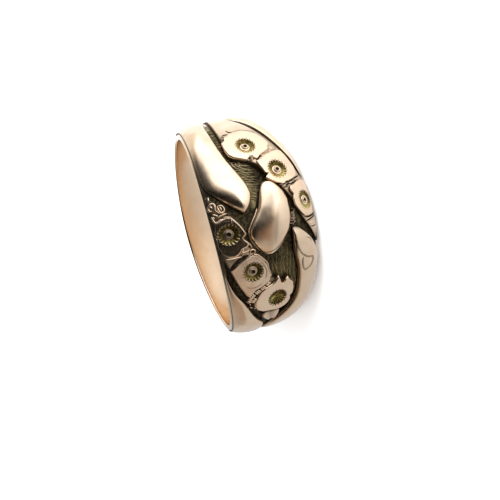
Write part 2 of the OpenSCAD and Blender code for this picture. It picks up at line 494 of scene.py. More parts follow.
for name, rows in STRANDS.items():
    section, height = STRAND_FORMS.get(name, (ROUND_SECTION, STRAND_HEIGHT))
    strand = rib(name, section, rows, height)
    finish_mesh(strand, levels=3)
    foot = CLEAN_FOOT.get(name, 0)
    lay_on_band(strand, lambda place: place.z + foot * ease(place.x / CLEAN_FROM))
    part_of_ring(strand, polished_gold)

# The flower strips. Between the plain strands run two lower strips of the same casting.
# They carry three flowers each; punch work darkens what shows of them round the flowers,
# and their far ends are left plain and bright.
STRIP_SECTION = [
    (1, -0.6), (1, 0.5), (0.96, 0.9), (0.8, 1), (0.3, 1), (-0.3, 1), (-0.8, 1),
    (-0.96, 0.9), (-1, 0.5), (-1, -0.6), (0, -0.6),
]
STRIP_HEIGHT = 0.42
STRIPS = {
    "upper_flower_strip": [
        (-96, -0.3, 1.1, 1.6), (-80, -0.3, 1.1, 1.6), (-70, -0.55, 0.55, 1.6),
        (-62, -0.9, 0.7, 1.6), (-55, -1.1, 1.4, 1.45), (-48, -1.28, 2.06, 1.3),
        (-41, -1.3, 2.66, 1.2), (-35, -1.3, 3.06, 1.24), (-30, -0.9, 3.4, 1.24),
        (-26, 0.5, 3.62, 1.24), (-20, 1, 3.82, 1.24), (-15, 1.5, 4.1, 1.24),
        (-10, 2.1, RIM, 1.24), (-4, 2.6, RIM, 1.2), (2, 2.8, RIM, 1.2), (7, 3.4, RIM, 1.3),
        (12, 3.85, RIM, 1.3), (17, 4.1, RIM, 0.8),
    ],
    "lower_flower_strip": [
        (-17, -RIM, -4.15, 0.5), (-12, -RIM, -3.7), (-7, -RIM, -3.3), (-1, -RIM, -2.6),
        (4, -RIM, -2.3), (10, -RIM, -2.05, 1.25), (15, -4.05, -1.4, 1.34),
        (20, -3.78, -1, 1.25), (26, -3.4, -0.8, 1.2), (30, -2.9, 0.9), (36, -2.4, 1.2),
        (41, -2, 0.9), (46, -1.5, 0.4, 0.8),
    ],
}
# The strips are drilled where the flowers' hearts will sit: degrees, drop
HEART_PLACES = {
    "flower_1": (-35.4, 0.34), "flower_2": (-20.5, 2.05), "flower_3": (-4.2, 3.62),
    "flower_4": (2.2, -3.45), "flower_5": (20.7, -2.14), "flower_6": (37.6, -0.14),
}
DRILL_R = 0.72
DRILL_LEVEL = 0.2
strip_gold = gold("strip_gold", 0.4, 0.6)
for name, rows in STRIPS.items():
    strip = rib(name, STRIP_SECTION, rows, STRIP_HEIGHT)
    finish_mesh(strip, levels=3)
    for vert in strip.data.vertices:
        near = min((vert.co - plan(*place)).xy.length for place in HEART_PLACES.values())
        if near < DRILL_R:
            vert.co.z = min(vert.co.z, DRILL_LEVEL)
    lay_on_band(strip)
    part_of_ring(strip, strip_gold)

# The flowers. Each real one is a flat boss, its petals marked only by its scalloped
# outline and a fine lip round it. One disc is worked ring by ring, with the star-shaped
# hole for its heart, and six copies are fitted to the outlines of the six flowers.
SPOKES = 72
CUTS = 18
DISC_R = 1.8
HEART_R = 0.9
CUT_R = 0.87
LAND_R = 0.66
# The hole runs out into each cut and in again to the land between two
STAR_REACH = [CUT_R, (LAND_R + CUT_R) / 2, LAND_R, (LAND_R + CUT_R) / 2]
FLOWER_FOOT = -0.3
# The disc's rings, from its edge inwards: radius, level
DISC_RINGS = [
    (DISC_R, 0.5), (1.76, 0.63), (1.7, 0.68), (1.6, 0.69), (1.48, 0.67), (1.2, 0.68),
    (HEART_R, 0.68), (CUT_R, 0.675),
]
STAR_RINGS = [(CUT_R, 0.64), (CUT_R, 0.25)]
# Where single flowers differ: two lean, one is squeezed at the rim and one is painted darker, a
# painted dark reflection
LEANS = {"flower_3": -0.2, "flower_4": 0.15}
NARROWED = {"flower_3": 0.8}
DARK_REFLECTION_FLOWERS = {"flower_5": 0.1}
# The flowers' outlines: degrees, drop
FLOWERS = {
    "flower_1": [
        (-40, -1.45), (-35, -1.5), (-32, -1.42), (-30, -1.1), (-28.6, -0.6), (-27.3, -0.15),
        (-28.4, 0.05), (-28.4, 0.4), (-27.2, 0.65), (-27.4, 0.95), (-29, 1.2), (-30, 1.6),
        (-31.0, 2.0), (-33, 2.4), (-36, 2.5), (-39, 2.3), (-42, 1.95), (-45, 1.3),
        (-46.4, 0.7), (-45.2, 0.2), (-45.5, -0.4), (-43.4, -0.7), (-43.4, -1.0), (-41.2, -1.1),
    ],
    "flower_2": [
        (-26.4, 0.55), (-24.4, 0.6), (-21.8, 0.78), (-19.7, 0.86), (-19.3, 1.2), (-18.5, 0.95),
        (-17.5, 0.71), (-16, 1.05), (-14.3, 1.46), (-13, 2.05), (-13.4, 2.4), (-14.2, 2.8),
        (-15.2, 3.3), (-16.4, 3.6), (-18.5, 3.72), (-20.7, 3.72), (-24, 3.58), (-27.9, 3.38),
        (-30.4, 3.2), (-31, 2.85), (-30.2, 2.35), (-29.1, 1.85), (-28.9, 1.6), (-27.6, 1.3),
        (-27.8, 1.0), (-26.8, 0.8),
    ],
    "flower_3": [
        (-7.8, 2.56), (-6.1, 2.4), (-3.1, 2.38), (-1.4, 2.55), (1.1, 2.86), (2.9, 3.16),
        (3.2, 3.7), (2.4, 4.2), (-3, 4.3), (-8, 4.3), (-13, 4.25), (-14.3, 3.95), (-13.4, 3.35),
        (-12.2, 2.9), (-11.6, 2.5), (-10.2, 2.36), (-8.6, 2.42),
    ],
    "flower_4": [
        (-4.4, -4.15), (-5.2, -3.8), (-5.2, -3.35), (-4.4, -2.98), (-1, -2.6), (2, -2.35),
        (3.2, -2.22), (4.8, -2.55), (6.5, -2.4), (8, -2.12), (9.2, -2.3), (9.6, -2.7),
        (10.8, -2.85), (11.5, -2.95), (12.8, -3.3), (12.6, -3.8), (10.5, -4.15), (7, -4.32),
        (0, -4.32),
    ],
    "flower_5": [
        (14, -2.5), (13, -2.0), (13.5, -1.65), (14.7, -1.4), (16.6, -1.1), (17.6, -1.06),
        (18.7, -0.87), (20.5, -0.83), (22.6, -0.74), (24.8, -0.6), (25.4, -0.8), (26.6, -0.75),
        (27.6, -0.98), (28.7, -1.34), (29.6, -1.6), (30.2, -2.0), (32, -2.3), (34.2, -2.6),
        (32.4, -2.85), (30, -3.05), (27, -3.32), (24, -3.53), (21, -3.72), (18.2, -3.9),
        (17.4, -3.62), (16, -3.3), (15, -2.95),
    ],
    "flower_6": [
        (29.0, -0.62), (28.0, -0.35), (25.3, 0.0), (28.4, 0.14), (30.4, 0.27), (29.8, 0.5),
        (27.2, 0.82), (29.4, 1.06), (31.2, 1.36), (34.7, 1.41), (37.6, 1.32), (38.7, 1.06),
        (41, 1.13), (43.2, 0.93), (44.5, 0.67), (45.6, 0.2), (45.4, -0.3), (44.9, -0.76),
        (44.6, -1.4), (42.8, -1.9), (40.3, -2.15), (37.2, -2.16), (34.5, -1.95), (31.8, -1.66),
        (30.4, -1.31), (29.5, -0.87),
    ],
}


def spoke(number, reach, level):
    """A point of a flower's ring, that far from its middle."""
    angle = FULL_TURN * number / SPOKES
    return Vector((reach * math.cos(angle), reach * math.sin(angle), level))


def outline_reach(outline, way):
    """How far from the middle the outline crosses that way."""
    for first, second in zip(outline, outline[1:] + outline[:1]):
        edge = second - first
        spread = way.x * edge.y - way.y * edge.x
        if abs(spread) < 1e-9:
            continue
        reach = (first.x * edge.y - first.y * edge.x) / spread
        share = (first.x * way.y - first.y * way.x) / spread
        if reach > 0 and 0 <= share <= 1:
            return reach
    return DISC_R


def work_rings(rings, reach, level):
    """Works the selected face from ring to ring, inwards, or straight up or down where
    the reach stays the same."""
    for next_reach, next_level in rings:
        rise = next_level - level
        if next_reach == reach:
            bpy.ops.mesh.extrude_region_move(TRANSFORM_OT_translate={"value": (0, 0, rise)})
        else:
            bpy.ops.mesh.inset(thickness=reach - next_reach, depth=rise)
        reach, level = next_reach, next_level


disc = draw_outline("flower", [spoke(number, DISC_R, FLOWER_FOOT) for number in range(SPOKES)])
work_rings(DISC_RINGS, DISC_R, FLOWER_FOOT)
star = bmesh.from_edit_mesh(disc.data)
for vert in star.verts:
    if vert.select:
        number = round(vert.co.xy.angle_signed(Vector((1, 0))) / FULL_TURN * SPOKES)
        vert.co.xy *= STAR_REACH[number % len(STAR_REACH)] / CUT_R
bmesh.update_edit_mesh(disc.data)
work_rings(STAR_RINGS, *DISC_RINGS[-1])
finish_mesh(disc, levels=1)

FLOWER_TOP = ((0.84, 0.575, 0.4, 1), (0.87, 0.68, 0.44, 1))
flower_gold = gold("flower_gold", 0.42, 0.62, top=FLOWER_TOP, worn=2.0)
for name, outline in FLOWERS.items():
    flower = bpy.data.objects.new(name, disc.data.copy())
    bpy.context.collection.objects.link(flower)
    flower.data.name = name
    middle = plan(*HEART_PLACES[name])
    outline = [(plan(*point) - middle).xy for point in outline]
    # One flower's marks are lowered, so it is painted darker: a painted dark reflection.
    mark_lift(flower, lambda place: place.z - DARK_REFLECTION_FLOWERS.get(name, 0))
    squeeze = 1 - NARROWED.get(name, 1)
    for vert in flower.data.vertices:
        reach = vert.co.xy.length
        beyond = max(0, (reach - HEART_R) / (DISC_R - HEART_R))
        if reach > HEART_R:
            way = vert.co.xy / reach
            vert.co.xy = way * (HEART_R + beyond * (outline_reach(outline, way) - HEART_R))
        vert.co.y *= 1 - squeeze * (1 - beyond)
        if vert.co.z > 0:
            vert.co.z += LEANS.get(name, 0) * vert.co.y
    flower.data.transform(Matrix.Translation(middle))
    lay_on_band(flower)
    part_of_ring(flower, flower_gold)
bpy.data.objects.remove(disc)

# The flowers' hearts. Each is a shallow dish, bright-cut in short spokes with a graver,
# and yellower than the ring; a raised pip with a punched dot stands in its middle.
DISH_R = 0.89
DISH_FOOT = 0.2
DISH_RINGS = [
    (DISH_R, 0.5), (DISH_R, 0.65), (0.8, 0.62), (0.7, 0.575), (0.6, 0.52), (0.5, 0.46),
    (0.42, 0.42), (0.3, 0.4), (0.1, 0.4),
]
DISH_FLOOR = 0.35
PIP_R = 0.5
PIP_FOOT = 0.3
PIP_RINGS = [
    (0.41, 0.47), (0.37, 0.475), (0.31, 0.47), (0.28, 0.5), (0.26, 0.57), (0.22, 0.61),
    (0.18, 0.6), (0.15, 0.55), (0.13, 0.49), (0.04, 0.47),
]
DOT_R = 0.17
# A groove runs round the pip's raised middle, between these two radii
GROOVE = (0.28, 0.33)
GROOVE_SHINE = 0.38
CUT_DEPTH = 0.14
CUT_FROM = 0.6
CUT_RUN = 0.2
CUT_TOP = ((0.42, 0.31, 0.08, 1), (0.68, 0.54, 0.2, 1))
CUT_DIRT = ((0.05, 0.035, 0.008, 1), (0.2, 0.14, 0.03, 1))
cut_gold = gold("cut_gold", 0.1, 0.8, top=CUT_TOP, dirt=CUT_DIRT, polish=0.12, worn=0.2)
# One heart has no pip, so its cuts start nearly in its middle; two others and their pips are
# painted darker, a painted dark reflection
BARE_HEARTS = {"flower_6": 0.1}
HEART_DARK_REFLECTION = {"flower_4": 0.5, "flower_5": 0.5}
PIP_SHINE_UNDER_DARK_REFLECTION = {"flower_4": 0.36, "flower_5": 0.42}


def cut_wave(place):
    """-1 in the middle of a cut and 1 on the land between two."""
    return -math.cos(CUTS * math.atan2(place.y, place.x))


def heart_clean_and_painted_light(name, offset):
    """Clean on the lands between the cuts; the heart's lower side is painted lighter and its upper
    side darker: painted light and shade.
    """
    land = 0.5 + 0.5 * cut_wave(offset)
    if name in BARE_HEARTS:
        return 0.8 * land * ease((0.95 - offset.length) / 0.6)
    # Painted light and shade: the heart's lower side is painted brighter, its upper side darker.
    painted_light_side = ease(0.5 + 0.75 * (offset.x - 0.5 * offset.y) / HEART_R)
    land *= ease((offset.length - 0.45) / 0.3)
    shine = 0.1 + 0.35 * painted_light_side + (0.1 + 0.45 * painted_light_side) * land
    # Two hearts are painted darker still: a painted dark reflection.
    return shine * HEART_DARK_REFLECTION.get(name, 1)


def pip_shine(name, reach):
    """Black in the punched dot and dull in the groove. Two pips are painted darker all over: a
    painted dark reflection.
    """
    if reach < DOT_R:
        return 0
    return GROOVE_SHINE if GROOVE[0] < reach < GROOVE[1] else PIP_SHINE_UNDER_DARK_REFLECTION.get(name, 1)


def seat_in_flower(piece, name):
    """Squeezes and tilts a heart's piece as its flower is, and moves it there."""
    for vert in piece.data.vertices:
        vert.co.y *= NARROWED.get(name, 1)
        vert.co.z += LEANS.get(name, 0) * vert.co.y
    piece.data.transform(Matrix.Translation(plan(*HEART_PLACES[name])))


for name in FLOWERS:
    rim = [spoke(number, DISH_R, DISH_FOOT) for number in range(SPOKES)]
    heart = draw_outline(name + "_heart", rim)
    work_rings(DISH_RINGS, DISH_R, DISH_FOOT)
    finish_mesh(heart, levels=1)
    cut_from = BARE_HEARTS.get(name, CUT_FROM)
    for vert in heart.data.vertices:
        if vert.co.xy.length > cut_from and vert.co.z > DISH_FLOOR:
            depth = CUT_DEPTH * ease((vert.co.xy.length - cut_from) / CUT_RUN)
            vert.co.z += depth * (0.3 + cut_wave(vert.co)) / 2
    seat_in_flower(heart, name)
    middle = plan(*HEART_PLACES[name])
    lay_on_band(heart, lambda place: heart_clean_and_painted_light(name, (place - middle).xy))
    part_of_ring(heart, cut_gold)

    if name in BARE_HEARTS:
        continue
    rim = [spoke(number, PIP_R, PIP_FOOT) for number in range(0, SPOKES, 3)]
    pip = draw_outline(name + "_pip", rim)
    work_rings(PIP_RINGS, PIP_R, PIP_FOOT)
    finish_mesh(pip, levels=1)
    mark_lift(pip, lambda place: pip_shine(name, place.xy.length))
    seat_in_flower(pip, name)
    lay_on_band(pip)
    part_of_ring(pip, polished_gold)

# The small work. Between the flowers the real strips carry curled leaves, beads and cuts,
# cast with the ring and sharpened with punch and graver; its hollows have gone dark.
LEAF_POINTS = [
    (-1, 0), (-0.8, 0.42), (-0.45, 0.82), (0, 1), (0.45, 0.82), (0.8, 0.42),
    (1, 0), (0.8, -0.42), (0.45, -0.82), (0, -1), (-0.45, -0.82), (-0.8, -0.42),
]
LEAF_FOOT = 0.2
LEAF_LIP = 0.07
# Shares of a leaf's width: its lip's slope outside, and its top and its slope inside
LIP_OUTSIDE = 0.06
LIP_INSIDE = 0.09
# Leaves: degrees, drop, length, width, the way they point, lift
LEAVES = [
    (-11.2, -4.12, 0.56, 0.4, 0, 0.46), (-9.6, -3.47, 0.6, 0.3, 10, 0.48),
    (-7.6, -4.05, 0.5, 0.34, 60, 0.46), (-15.2, -4.1, 0.6, 0.26, -20, 0.32),
    (-16.0, 3.75, 0.6, 0.45, 20, 0.42), (-32.3, 2.5, 0.42, 0.36, 20, 0.5),
    (4.6, 3.4, 0.42, 0.24, 30, 0.46), (6.6, 3.8, 0.9, 0.5, 80, 0.5),
    (9.2, 4.05, 0.6, 0.36, 70, 0.5), (41.8, -2.3, 0.5, 0.26, 60, 0.3),
    (39.6, -2.4, 0.45, 0.22, 20, 0.3),
]
# Beads: degrees, drop, radius, lift
BEADS = [
    (-14.2, 3.1, 0.13, 0.42), (-12.2, 3.3, 0.11, 0.4), (-29.0, 0.95, 0.1, 0.4),
    (4.2, 3.95, 0.12, 0.42), (42.6, -2.0, 0.1, 0.3), (-6.4, -4.2, 0.12, 0.45),
    (-7.0, -3.9, 0.1, 0.45),
]
# Twisted rows: the places in degrees and drop that each runs through
ROPES = [
    [
        (36.6, -2.6), (34.4, -2.44), (33.1, -2.21), (32.2, -1.98), (31.3, -1.74), (30.7, -1.51),
        (29.8, -1.27), (29.0, -1.03), (27.4, -0.76),
    ],
    [(36.9, -2.3), (35.5, -2.1), (34.4, -1.95)],
]
ROPE_STEP = 0.19
ROPE_LIFT = 0.5
ROPE_LAY = 0.35
ROPE_BEAD = Matrix.Diagonal((0.62, 1.15, 0.8, 1))
small_work = []


def add_bead(radius, lift, placing):
    """One bead, bright on top and dark below. Those of a twisted row are squeezed ones."""
    bpy.ops.object.select_all(action="DESELECT")
    bpy.ops.mesh.primitive_uv_sphere_add(segments=10, ring_count=6, radius=radius)
    bead = bpy.context.object
    bpy.ops.object.shade_smooth()
    bead.data.transform(placing)
    mark_lift(bead, lambda place: (place.z - lift) / radius)
    small_work.append(bead)


for number, (degrees, drop, length, width, way, lift) in enumerate(LEAVES, start=1):
    outline = [(x * length / 2, y * width / 2, -LEAF_FOOT) for x, y in LEAF_POINTS]
    leaf = draw_outline(f"leaf_{number}", outline)
    bpy.ops.mesh.extrude_region_move(TRANSFORM_OT_translate={"value": (0, 0, lift + LEAF_FOOT)})
    bpy.ops.mesh.inset(thickness=width * LIP_OUTSIDE, depth=LEAF_LIP)
    bpy.ops.mesh.inset(thickness=width * LIP_INSIDE, depth=0)
    bpy.ops.mesh.inset(thickness=width * LIP_INSIDE, depth=-2 * LEAF_LIP)
    bpy.ops.mesh.select_all(action="SELECT")
    turn_flat(way)
    bpy.ops.transform.translate(value=plan(degrees, drop))
    finish_mesh(leaf, levels=1)
    mark_lift(leaf, lambda place: (place.z - lift) / LEAF_LIP)
    small_work.append(leaf)
for degrees, drop, radius, lift in BEADS:
    add_bead(radius, lift, Matrix.Translation(plan(degrees, drop) + Vector((0, 0, lift))))
for rope in ROPES:
    for first, second in zip(rope, rope[1:]):
        start, end = plan(*first), plan(*second)
        steps = round((end - start).length / ROPE_STEP)
        lay = Matrix.Rotation(math.atan2(end.y - start.y, end.x - start.x) + ROPE_LAY, 4, "Z")
        for step in range(steps):
            place = start.lerp(end, step / steps) + Vector((0, 0, ROPE_LIFT))
            add_bead(ROPE_STEP, ROPE_LIFT, Matrix.Translation(place) @ lay @ ROPE_BEAD)
bpy.ops.object.select_all(action="DESELECT")
for piece in small_work:
    piece.select_set(True)
trim = small_work[0]
bpy.context.view_layer.objects.active = trim
bpy.ops.object.join()
trim.name = trim.data.name = "leaves_and_beads"
trim_gold = gold("trim_gold", -0.3, 0.7)
lay_on_band(trim)
part_of_ring(trim, trim_gold)

# The graver's strokes. Fine ridges, curls and cuts finish the real carving. Each is a
# narrow strip that tapers at both ends: a ridge stands at a height of its own, and a cut
# is laid as a dark line on whatever it crosses.
CURVE_STEPS = 5
STROKE_CREST = 0.3
LAID_HEIGHT = 0.05
CUT_HEIGHT = 0.012
SUNK = 0.2
FEEL_FROM = 3
FEEL_TO = -1


def stroke(name, points, width):
    """One tapering stroke of the graver, drawn flat as a strip of faces on a smooth curve."""
    knots = [plan(*point) for point in points]
    knots = [knots[0]] + knots + [knots[-1]]
    line = [knots[0]]
    for before, start, end, after in zip(knots, knots[1:], knots[2:], knots[3:]):
        leaving, coming = start + (end - before) / 6, end - (after - start) / 6
        line += interpolate_bezier(start, leaving, coming, end, CURVE_STEPS)[1:]
    last = len(line) - 1
    bpy.ops.object.select_all(action="DESELECT")
    bpy.ops.mesh.primitive_grid_add(x_subdivisions=last, y_subdivisions=2)
    piece = bpy.context.object
    piece.name = piece.data.name = name
    for number, place in enumerate(line):
        along = (line[min(number + 1, last)] - line[max(number - 1, 0)]).normalized()
        taper = min(1, 0.2 + min(number, last - number) / 4)
        aside = Vector((-along.y, along.x, 0)) * width / 2 * taper
        crest = Vector((0, 0, STROKE_CREST * width * taper))
        for row, offset in enumerate((-aside, crest, aside)):
            piece.data.vertices[row * len(line) + number].co = place + offset
    bpy.ops.object.mode_set(mode="EDIT")
    bpy.ops.mesh.select_all(action="SELECT")
    return piece


def drape(line, height):
    """Lays a flat drawn line on whatever carving it passes over, its foot sunk in it."""
    bpy.context.view_layer.update()
    depsgraph = bpy.context.evaluated_depsgraph_get()
    for vert in line.data.vertices:
        above = TO_METRES @ on_band(vert.co.x, vert.co.y, FEEL_FROM)
        below = TO_METRES @ on_band(vert.co.x, vert.co.y, FEEL_TO)
        way = (below - above).normalized()
        reach = (FEEL_FROM - FEEL_TO) * MM
        place = bpy.context.scene.ray_cast(depsgraph, above, way, distance=reach)[1]
        on_top = vert.co.z > 0.5
        vert.co = place - way * (height if on_top else -SUNK) * MM


# Strokes: their points in degrees and drop, width, lift, or None where one is laid on
# the carving, and look
STROKES = {
    "petal_ridge_1": ([
        (-5.6, -3.55), (-4.7, -3.08), (-2.8, -2.8), (-1, -2.6), (1, -2.42), (3.6, -2.18),
    ], 0.12, 0.73, "bright"),
    "petal_ridge_2": ([
        (3.6, -2.2), (5.2, -2.54), (6.8, -2.3), (8.5, -2.05), (10.0, -1.98),
    ], 0.1, 0.73, "bright"),
    "petal_ridge_3": ([
        (10.4, -2.15), (10.9, -2.48), (11.2, -2.72), (12.6, -2.9), (12.8, -3.31), (12.9, -3.7),
        (12.8, -4.05),
    ], 0.1, 0.72, "bright"),
    "petal_ridge_4": ([
        (-4.9, -3.2), (-4.5, -3.66), (-3.9, -4.06), (-5.0, -4.22), (-7.2, -4.28),
    ], 0.11, 0.72, "bright"),
    "petal_ridge_5": ([(8.2, -2.5), (10.0, -2.75), (11.6, -3.0)], 0.2, 0.72, "bright"),
    "petal_ridge_6": ([
        (12.9, -1.93), (13.5, -1.6), (15.9, -1.2), (18.0, -0.93), (20.2, -0.89), (22.4, -0.79),
        (24.4, -0.68),
    ], 0.09, 0.74, "bright"),
    "petal_vein": ([
        (-5.2, -3.08), (-4.2, -3.03), (-3.2, -3.03), (-2.3, -3.05),
    ], 0.09, 0.78, "bright"),
    "leaf_loop_1": ([
        (-9.7, -4.08), (-9.9, -4.28), (-11.4, -4.3), (-12.7, -4.08), (-12.5, -3.86),
        (-11.2, -3.82), (-9.9, -3.98),
    ], 0.13, 0.54, "bright"),
    "leaf_loop_2": ([
        (-11.2, -3.62), (-10.6, -3.36), (-9.2, -3.24), (-8.0, -3.32), (-7.7, -3.55), (-9.2, -3.66),
        (-11.0, -3.66),
    ], 0.13, 0.56, "bright"),
    "scroll_1": ([
        (-12.9, 1.86), (-13.3, 2.2), (-12.7, 2.45), (-11.8, 2.32), (-11.9, 2.0), (-12.6, 1.9),
    ], 0.15, 0.56, "dull"),
    "scroll_2": ([
        (-13.3, 2.56), (-14.1, 2.9), (-14.5, 3.22), (-13.4, 3.21), (-12.7, 2.87), (-11.6, 2.55),
        (-10.8, 2.4),
    ], 0.16, 0.56, "dull"),
    "scroll_3": ([
        (-0.9, 2.42), (0.0, 2.3), (0.0, 2.12), (1.0, 2.34), (1.8, 2.15), (2.5, 2.36), (3.0, 2.1),
        (4.0, 2.28), (4.8, 2.1),
    ], 0.12, 0.3, "dull"),
    "curl_1": ([
        (-29.8, -1.26), (-28.1, -1.28), (-27, -1.2), (-25.9, -1.08), (-25.2, -0.9),
    ], 0.13, 0.22, "dull"),
    "curl_2": ([(-29.5, -0.98), (-28.2, -0.99), (-27.1, -1.0)], 0.12, 0.2, "dull"),
    "curl_3": ([(-29.8, -0.75), (-28.4, -0.68), (-27.3, -0.73), (-26.4, -0.88)], 0.13, 0.2, "dull"),
    "crescent_1": ([
        (3.6, 3.25), (4.7, 3.4), (4.3, 3.7), (4.3, 4.0), (3.6, 4.2),
    ], 0.13, 0.52, "bright"),
    "fan_1": ([(-6.0, -3.9), (-6.6, -3.58), (-6.8, -3.33), (-6.8, -3.14)], 0.11, 0.5, "bright"),
    "fan_2": ([(-7.4, -3.7), (-7.6, -3.5), (-7.4, -3.3)], 0.11, 0.5, "bright"),
    "leaf_edge": ([
        (-12.7, -3.86), (-11.1, -3.86), (-9.4, -3.87), (-8.2, -3.74), (-7.6, -3.56),
    ], 0.08, 0.56, "bright"),
    "ring_curl": ([
        (12.9, -1.95), (12.3, -1.77), (11.4, -1.74), (10.8, -1.92), (11.2, -2.12), (12.2, -2.16),
        (12.8, -2.0),
    ], 0.1, 0.62, "bright"),
    "ring_curl_dot": ([(11.3, -1.95), (11.8, -1.95), (12.4, -1.95)], 0.26, None, "dark"),
    "crescent_cut": ([
        (12.8, -2.3), (13.4, -2.75), (14.6, -3.15), (16.2, -3.52), (18.2, -3.82),
    ], 0.3, 0.64, "dark"),
    "oval_crease": ([
        (12.8, -1.2), (14.2, -0.62), (13.7, -0.1), (12.0, 0.42), (9.6, 0.9), (7.2, 1.3),
    ], 0.05, None, "dark"),
    "column_curl_1": ([
        (-2.0, 2.2), (-1.2, 2.5), (-0.2, 2.3), (0.4, 2.02), (1.2, 2.2),
    ], 0.1, 0.28, "dull"),
    "column_curl_2": ([
        (1.4, 2.4), (2.2, 2.16), (2.4, 1.9), (3.4, 1.96), (3.8, 2.2),
    ], 0.1, 0.28, "dull"),
    "column_curl_3": ([(3.8, 1.7), (4.6, 1.86), (4.8, 2.1), (5.6, 2.0)], 0.09, 0.24, "dull"),
    "outline_cut": ([
        (-43.8, 1.95), (-45.9, 1.45), (-47.0, 0.9), (-47.0, 0.4), (-46.7, 0.05), (-47.4, -0.32),
    ], 0.08, None, "dull"),
    "gap_cut_1": ([
        (-34.0, 2.5), (-33.2, 2.22), (-31.6, 2.15), (-30.3, 2.05), (-29.6, 1.6), (-28.9, 1.3),
    ], 0.12, None, "dull"),
    "gap_cut_2": ([(-28.9, 1.25), (-28.0, 1.12), (-27.2, 0.95), (-26.8, 0.66)], 0.26, None, "dark"),
    "gap_cut_3": ([(-29.4, 0.26), (-28.8, 0.3), (-27.9, 0.32), (-27.0, 0.42)], 0.4, None, "dull"),
    "gap_cut_4": ([(-33.0, 2.9), (-31.9, 2.86), (-31.2, 2.62), (-30.9, 2.3)], 0.12, None, "dull"),
    "curl_cut_1": ([
        (-12.2, 1.75), (-13.6, 2.3), (-14.1, 2.85), (-15.3, 3.45), (-16.4, 3.95),
    ], 0.14, None, "dark"),
    "curl_cut_2": ([
        (-11.7, 2.05), (-12.1, 2.3), (-12.9, 2.5), (-12.6, 2.8), (-13.3, 3.12), (-14.2, 3.6),
    ], 0.11, None, "dark"),
    "rope_cut_1": ([(3.1, 3.12), (3.7, 3.55), (3.4, 4.0), (2.6, 4.36)], 0.15, None, "dark"),
    "rope_cut_2": ([(5.4, 3.2), (5.0, 3.6), (4.4, 4.0), (3.6, 4.38)], 0.13, None, "dark"),
    "rope_cut_3": ([(8.2, 3.55), (8.7, 3.9), (8.4, 4.24)], 0.1, None, "dark"),
    "oval_lip": ([
        (-5.6, -0.68), (-4.5, -0.82), (-3, -1.0), (-1.5, -1.23), (0, -1.45), (1.5, -1.64),
        (3, -1.8), (4.5, -1.84),
    ], 0.09, 0.34, "bright"),
    "notch_cut_1": ([(-48.6, -0.36), (-46.8, -0.22), (-46.0, 0.01)], 0.12, None, "dark"),
    "notch_cut_2": ([(-45.3, -1.0), (-45.5, -0.63), (-45.3, -0.38)], 0.14, None, "dark"),
    "notch_cut_3": ([(-44.0, -1.15), (-44.3, -0.92), (-43.9, -0.72)], 0.12, None, "dark"),
    "notch_cut_4": ([(-43.4, -1.2), (-42.6, -1.05), (-41.2, -1.08)], 0.12, None, "dark"),
    "strand_line": ([
        (12.0, 1.98), (14.1, 1.95), (16.2, 2.02), (18.7, 2.25), (20.7, 2.66), (21.6, 3.02),
        (22.1, 3.31), (23.9, 3.35), (25.9, 3.09), (26.7, 2.7), (26.9, 2.42), (25.1, 2.25),
        (22.2, 2.23), (20.4, 2.34),
    ], 0.15, None, "dull"),
    "strand_hook": ([(12.0, 2.85), (13.4, 3.28), (14.8, 3.36)], 0.08, None, "dull"),
    "petal_cut_1": ([
        (17.0, -1.42), (18.6, -1.23), (20.9, -1.08), (23.1, -1.08), (25.1, -1.23),
    ], 0.08, None, "dull"),
    "petal_cut_2": ([(13.9, -2.2), (14.6, -1.75), (15.8, -1.5)], 0.06, None, "dull"),
    "petal_cut_3": ([(27.0, -1.5), (28.2, -1.9), (28.4, -2.4), (27.4, -2.8)], 0.07, None, "dull"),
}
dark_cut = gold("dark_cut", 2, 3, dirt=(BLACK_DIRT, (0.1, 0.07, 0.035, 1)), polish=0.4)
# Looks: material, slot, how clean, height where it is laid on the carving
LOOKS = {
    "bright": (polished_gold, "rose_gold", 1, LAID_HEIGHT),
    "dull": (trim_gold, "rose_gold", 0.12, CUT_HEIGHT),
    "dark": (dark_cut, "dark_ground", 1, CUT_HEIGHT),
}
for name, (points, width, lift, look) in STROKES.items():
    material, slot, shine, laid_height = LOOKS[look]
    line = stroke(name, points, width)
    bpy.ops.mesh.extrude_region_move(TRANSFORM_OT_translate={"value": (0, 0, lift or 1)})
    finish_mesh(line)
    mark_lift(line, lambda place: shine * (place.z / lift if lift else 1))
    if lift:
        lay_on_band(line)
    else:
        drape(line, laid_height)
    part_of_ring(line, material)

# The tip leaf. A small hollowed leaf of the real casting closes the lower flowers' strip,
# where the strands on both sides of it run together.
TIP_SECTION = [
    (1, -0.5), (1, 0.6), (0.88, 0.95), (0.6, 1), (0, 0.8), (-0.6, 1), (-0.88, 0.95), (-1, 0.6),
    (-1, -0.5), (0, -0.5),
]
TIP_ROWS = [
    (46.4, -1.1, 0.22, 0.7), (47.2, -1.38, 0.36), (50, -1.36, 0.38), (52.5, -1.0, 0.26),
    (55, -0.6, 0.1), (57, -0.35, -0.1, 0.5),
]
TIP_HEIGHT = 0.6
tip = rib("tip_leaf", TIP_SECTION, TIP_ROWS, TIP_HEIGHT)
finish_mesh(tip, levels=2)
lay_on_band(tip)
part_of_ring(tip, flower_gold)

# The picture. The ring lies on a pale floor in soft studio light, and the camera stands
# where the photograph's did, seen from the ring. Its place is in the ring's own frame.
CAMERA_PLACE = Vector((0.82, -45.77, 15.04))
CAMERA_RIGHT = Vector((-0.2522, -0.3485, -0.9027))
CAMERA_UP = Vector((0.9649, -0.0202, -0.2618))
CAMERA_BACK = CAMERA_RIGHT.cross(CAMERA_UP)

